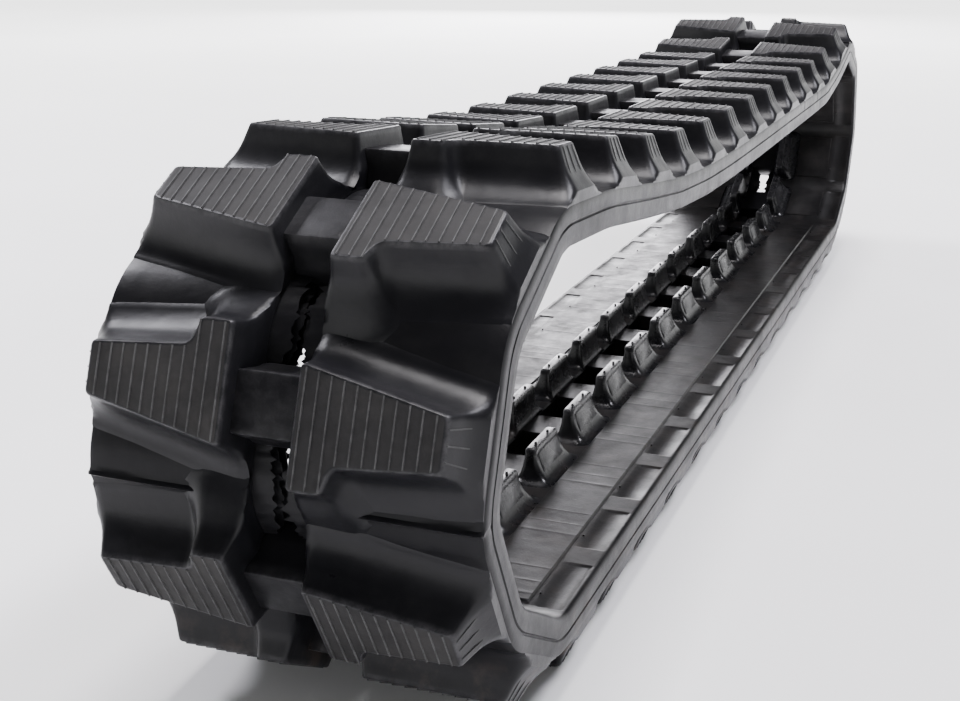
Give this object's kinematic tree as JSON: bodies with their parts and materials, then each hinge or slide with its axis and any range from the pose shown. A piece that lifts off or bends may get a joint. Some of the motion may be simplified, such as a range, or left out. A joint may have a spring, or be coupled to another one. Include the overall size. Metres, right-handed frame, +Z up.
{
  "type": "rubber track",
  "caption": "Endless rubber crawler track with staggered block tread, steel-cored guide horns and a central row of sprocket windows, standing in its natural oval loop.",
  "frame": {"origin": "middle of the loop's length and width, on the surface that the tread stands on", "axes": "+X across the track's width, +Y along its length, +Z up"},
  "size_m": [0.18, 1.1938, 0.2652],
  "materials": {
    "belt_rubber": "satin black moulded rubber, dusty on the roller paths",
    "tread_rubber": "satin black moulded rubber, greyed and finely ribbed on the lug tops",
    "horn_rubber": "glossy black moulded rubber",
    "core_steel": "as forged",
    "cord_steel": "brass-plated cord"
  },
  "bodies": {
    "bottom_run": {"bottom_run_belt_left": "belt_rubber", "bottom_run_belt_right": "belt_rubber", "bottom_run_bridge_blocks": "belt_rubber", "bottom_run_tread_lugs_left": "tread_rubber", "bottom_run_tread_lugs_right": "tread_rubber", "bottom_run_guide_horns": "horn_rubber", "bottom_run_steel_core": "core_steel", "bottom_run_cord_ply": "cord_steel"},
    "front_wrap_1": {"front_wrap_1_belt": "belt_rubber", "front_wrap_1_tread_lugs": "tread_rubber", "front_wrap_1_guide_horns": "horn_rubber", "front_wrap_1_steel_core": "core_steel", "front_wrap_1_cord_ply": "cord_steel"},
    "front_wrap_2": {"front_wrap_2_belt": "belt_rubber", "front_wrap_2_tread_lugs": "tread_rubber", "front_wrap_2_guide_horns": "horn_rubber", "front_wrap_2_steel_core": "core_steel", "front_wrap_2_cord_ply": "cord_steel"},
    "front_wrap_3": {"front_wrap_3_belt": "belt_rubber", "front_wrap_3_tread_lugs": "tread_rubber", "front_wrap_3_guide_horns": "horn_rubber", "front_wrap_3_steel_core": "core_steel", "front_wrap_3_cord_ply": "cord_steel"},
    "front_wrap_4": {"front_wrap_4_belt": "belt_rubber", "front_wrap_4_tread_lugs": "tread_rubber", "front_wrap_4_guide_horns": "horn_rubber", "front_wrap_4_steel_core": "core_steel", "front_wrap_4_cord_ply": "cord_steel"},
    "top_run": {"top_run_belt_left": "belt_rubber", "top_run_belt_right": "belt_rubber", "top_run_bridge_blocks": "belt_rubber", "top_run_tread_lugs_left": "tread_rubber", "top_run_tread_lugs_right": "tread_rubber", "top_run_guide_horns": "horn_rubber", "top_run_steel_core": "core_steel", "top_run_cord_ply": "cord_steel"},
    "rear_wrap_4": {"rear_wrap_4_belt": "belt_rubber", "rear_wrap_4_tread_lugs": "tread_rubber", "rear_wrap_4_guide_horns": "horn_rubber", "rear_wrap_4_steel_core": "core_steel", "rear_wrap_4_cord_ply": "cord_steel"},
    "rear_wrap_3": {"rear_wrap_3_belt": "belt_rubber", "rear_wrap_3_tread_lugs": "tread_rubber", "rear_wrap_3_guide_horns": "horn_rubber", "rear_wrap_3_steel_core": "core_steel", "rear_wrap_3_cord_ply": "cord_steel"},
    "rear_wrap_2": {"rear_wrap_2_belt": "belt_rubber", "rear_wrap_2_tread_lugs": "tread_rubber", "rear_wrap_2_guide_horns": "horn_rubber", "rear_wrap_2_steel_core": "core_steel", "rear_wrap_2_cord_ply": "cord_steel"},
    "rear_wrap_1": {"rear_wrap_1_belt": "belt_rubber", "rear_wrap_1_tread_lugs": "tread_rubber", "rear_wrap_1_guide_horns": "horn_rubber", "rear_wrap_1_steel_core": "core_steel", "rear_wrap_1_cord_ply": "cord_steel"}
  },
  "joints": [
    {"name": "front_bend_1", "type": "hinge", "parent": "bottom_run", "child": "front_wrap_1", "pos_m": [0, -0.468, 0.0335], "axis": [1, 0, 0], "range_deg": [-5.42, 5.42], "stiffness_Nm_per_rad": 220},
    {"name": "front_bend_2", "type": "hinge", "parent": "front_wrap_1", "child": "front_wrap_2", "pos_m": [0, -0.53035, 0.0695], "axis": [1, 0, 0], "range_deg": [-2.19, 2.19], "stiffness_Nm_per_rad": 220},
    {"name": "front_bend_3", "type": "hinge", "parent": "front_wrap_2", "child": "front_wrap_3", "pos_m": [0, -0.56635, 0.13185], "axis": [1, 0, 0], "range_deg": [-6.44, 6.44], "stiffness_Nm_per_rad": 220},
    {"name": "front_bend_4", "type": "hinge", "parent": "front_wrap_3", "child": "front_wrap_4", "pos_m": [0, -0.54173, 0.19951], "axis": [1, 0, 0], "range_deg": [-2.33, 2.33], "stiffness_Nm_per_rad": 220},
    {"name": "front_bend_5", "type": "hinge", "parent": "front_wrap_4", "child": "top_run", "pos_m": [0, -0.47758, 0.2322], "axis": [1, 0, 0], "range_deg": [-5.5, 5.5], "stiffness_Nm_per_rad": 220},
    {"name": "rear_bend_1", "type": "hinge", "parent": "bottom_run", "child": "rear_wrap_1", "pos_m": [0, 0.468, 0.0335], "axis": [1, 0, 0], "range_deg": [-4.83, 4.83], "stiffness_Nm_per_rad": 220},
    {"name": "rear_bend_2", "type": "hinge", "parent": "rear_wrap_1", "child": "rear_wrap_2", "pos_m": [0, 0.53378, 0.06278], "axis": [1, 0, 0], "range_deg": [-0.84, 0.84], "stiffness_Nm_per_rad": 220},
    {"name": "rear_bend_3", "type": "hinge", "parent": "rear_wrap_2", "child": "rear_wrap_3", "pos_m": [0, 0.56758, 0.12636], "axis": [1, 0, 0], "range_deg": [-7.93, 7.93], "stiffness_Nm_per_rad": 220},
    {"name": "rear_bend_4", "type": "hinge", "parent": "rear_wrap_3", "child": "rear_wrap_4", "pos_m": [0, 0.54295, 0.19402], "axis": [1, 0, 0], "range_deg": [-1.1, 1.1], "stiffness_Nm_per_rad": 220}
  ],
  "couplings": [
    {"joint": "front_bend_1", "follows": "front_bend_5", "ratio": 0.9811},
    {"joint": "front_bend_2", "follows": "front_bend_5", "ratio": -0.3942},
    {"joint": "front_bend_3", "follows": "front_bend_5", "ratio": -1.1669},
    {"joint": "front_bend_4", "follows": "front_bend_5", "ratio": -0.4201},
    {"joint": "rear_bend_1", "follows": "front_bend_5", "ratio": -0.8746},
    {"joint": "rear_bend_2", "follows": "front_bend_5", "ratio": 0.1494},
    {"joint": "rear_bend_3", "follows": "front_bend_5", "ratio": 1.4383},
    {"joint": "rear_bend_4", "follows": "front_bend_5", "ratio": 0.196}
  ]
}
